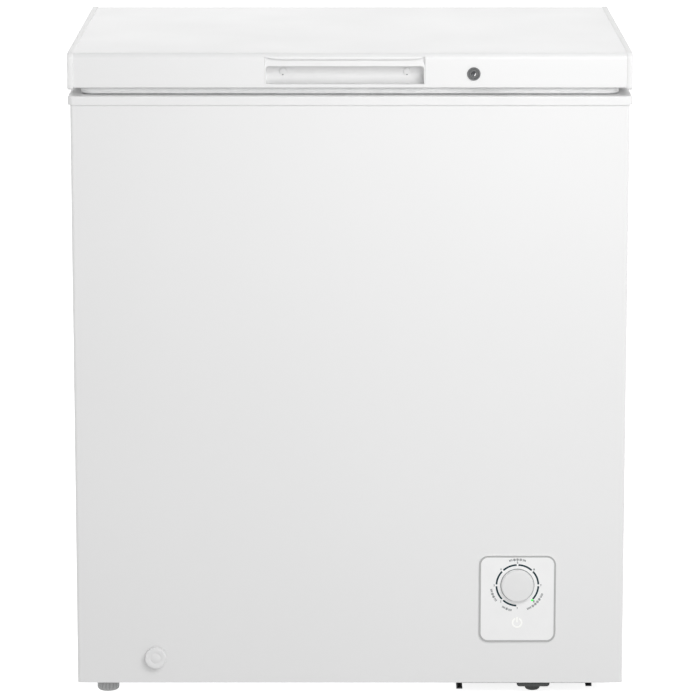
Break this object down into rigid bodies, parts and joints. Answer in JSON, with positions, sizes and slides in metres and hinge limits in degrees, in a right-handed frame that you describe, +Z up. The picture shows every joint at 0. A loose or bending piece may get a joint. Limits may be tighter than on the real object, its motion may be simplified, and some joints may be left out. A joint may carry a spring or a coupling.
{
  "type": "chest freezer",
  "caption": "Small white chest freezer with a hinged lid, recessed handle, front drain and a temperature dial.",
  "frame": {"origin": "on the floor, under the middle of the whole freezer's bounding box", "axes": "+Z up, -Y out of the front (the side with the handle and dial), +X to the right seen from the front"},
  "size_m": [0.722, 0.561, 0.85],
  "materials": {
    "white_steel": "white polyester-coated sheet, semi-gloss",
    "back_steel": "pale coated sheet",
    "zinc_steel": "zinc-plated",
    "liner_plastic": "white vacuum-formed sheet, gloss",
    "liner_sheet": "stucco-embossed sheet",
    "foam": "pale yellow rigid foam, matt",
    "white_plastic": "white moulded plastic, satin",
    "aluminium_tube": "drawn tube",
    "condenser_tube": "copper-washed steel tube",
    "black_steel": "black enamel, semi-gloss",
    "dark_foot": "dark grey, matt",
    "grey_foot": "mid grey, satin",
    "grille_plastic": "pale grey moulded plastic",
    "black_plastic": "black moulded plastic",
    "copper_tube": "bare copper, dull",
    "thermostat_body": "switch body",
    "dial_plastic": "pale grey, satin",
    "lamp_white": "diffusing lens",
    "lamp_green": "green lens",
    "drain_plastic": "white moulded plastic",
    "spring_steel": "oiled spring wire",
    "gasket_rubber": "soft grey vinyl",
    "lock_ring": "dark grey",
    "lock_metal": "plated",
    "wire_coating": "white epoxy-coated wire"
  },
  "bodies": {
    "cabinet": {"outer_wrap": "white_steel", "back_panel": "back_steel", "bottom_panel": "zinc_steel", "liner_walls": "liner_sheet", "liner_floor": "liner_sheet", "cabinet_foam": "foam", "top_collar": "white_plastic", "evaporator_coil": "aluminium_tube", "condenser_coil": "condenser_tube", "bay_partition": "back_steel", "base_plate": "black_steel", "fixed_feet": "dark_foot", "foot_nuts": "zinc_steel", "rear_cover": "grille_plastic", "rear_cover_screws": "zinc_steel", "cord_bush": "black_plastic", "side_grille": "grille_plastic", "compressor_shell": "black_steel", "compressor_mounting_plate": "black_steel", "compressor_grommets": "dark_foot", "compressor_studs": "zinc_steel", "start_relay_cover": "black_plastic", "compressor_tubes": "copper_tube", "filter_drier": "copper_tube", "capillary_tube": "copper_tube", "control_panel": "white_plastic", "control_housing": "grille_plastic", "thermostat": "thermostat_body", "power_lamp_lens": "lamp_white", "fast_freeze_lamp_lens": "lamp_green", "drain_pipe": "drain_plastic", "drain_spigot": "drain_plastic", "hinge_brackets": "zinc_steel", "hinge_bracket_screws": "zinc_steel", "hinge_pins": "zinc_steel", "hinge_springs": "spring_steel", "lock_strike": "zinc_steel"},
    "lid": {"hinge_arms": "zinc_steel", "lid_skin": "white_steel", "lid_pan": "liner_plastic", "lid_foam": "foam", "lid_gasket": "gasket_rubber", "lid_end_caps": "white_plastic", "handle_moulding": "white_plastic", "handle_screw_caps": "grille_plastic", "lock_bezel": "lock_ring"},
    "lock": {"lock_barrel": "lock_metal", "lock_hook": "zinc_steel"},
    "dial": {"thermostat_shaft": "zinc_steel", "temperature_dial": "dial_plastic"},
    "drain_washer": {"drain_seal": "dark_foot"},
    "drain_screw_cap": {"drain_cap": "drain_plastic"},
    "cavity_plug": {"cavity_drain_plug": "dark_foot"},
    "front_foot_screw": {"front_foot_stem": "zinc_steel"},
    "front_foot": {"front_foot_cup": "grey_foot"},
    "rear_foot_screw": {"rear_foot_stem": "zinc_steel"},
    "rear_foot": {"rear_foot_cup": "grey_foot"},
    "basket": {"basket_rim": "wire_coating", "basket_mesh": "wire_coating", "basket_hangers": "white_plastic"}
  },
  "joints": [
    {"name": "lid_hinge", "type": "hinge", "parent": "cabinet", "child": "lid", "pos_m": [0, 0.2715, 0.806], "axis": [-1, 0, 0], "range_deg": [0, 75], "stiffness_Nm_per_rad": 4, "springref_deg": 108.86, "deforming": ["hinge_springs"]},
    {"name": "lock_turn", "type": "hinge", "parent": "lid", "child": "lock", "pos_m": [0.158, -0.2725, 0.8226], "axis": [0, 1, 0], "range_deg": [0, 90]},
    {"name": "dial_turn", "type": "hinge", "parent": "cabinet", "child": "dial", "pos_m": [0.219, -0.277, 0.1495], "axis": [0, 1, 0], "range_deg": [0, 315]},
    {"name": "drain_cap_pull", "type": "slide", "parent": "cabinet", "child": "drain_washer", "axis": [0, -1, 0], "range_m": [0, 0.04]},
    {"name": "drain_cap_unscrew", "type": "hinge", "parent": "drain_washer", "child": "drain_screw_cap", "pos_m": [-0.255, -0.277, 0.052], "axis": [0, -1, 0], "continuous": true},
    {"name": "cavity_plug_lift", "type": "slide", "parent": "cabinet", "child": "cavity_plug", "axis": [0, 0, 1], "range_m": [0, 0.05]},
    {"name": "front_foot_lower", "type": "slide", "parent": "cabinet", "child": "front_foot_screw", "axis": [0, 0, -1], "range_m": [0, 0.01]},
    {"name": "front_foot_turn", "type": "hinge", "parent": "front_foot_screw", "child": "front_foot", "pos_m": [-0.3195, -0.2415, 0.01], "axis": [0, 0, -1], "range_deg": [0, 2880]},
    {"name": "rear_foot_lower", "type": "slide", "parent": "cabinet", "child": "rear_foot_screw", "axis": [0, 0, -1], "range_m": [0, 0.01]},
    {"name": "rear_foot_turn", "type": "hinge", "parent": "rear_foot_screw", "child": "rear_foot", "pos_m": [-0.3195, 0.2285, 0.01], "axis": [0, 0, -1], "range_deg": [0, 2880]},
    {"name": "basket_slide", "type": "slide", "parent": "cabinet", "child": "basket", "axis": [1, 0, 0], "range_m": [0, 0.35]}
  ],
  "couplings": [
    {"joint": "front_foot_lower", "follows": "front_foot_turn", "m_per_rad": 0.00019894},
    {"joint": "rear_foot_lower", "follows": "rear_foot_turn", "m_per_rad": 0.00019894}
  ]
}
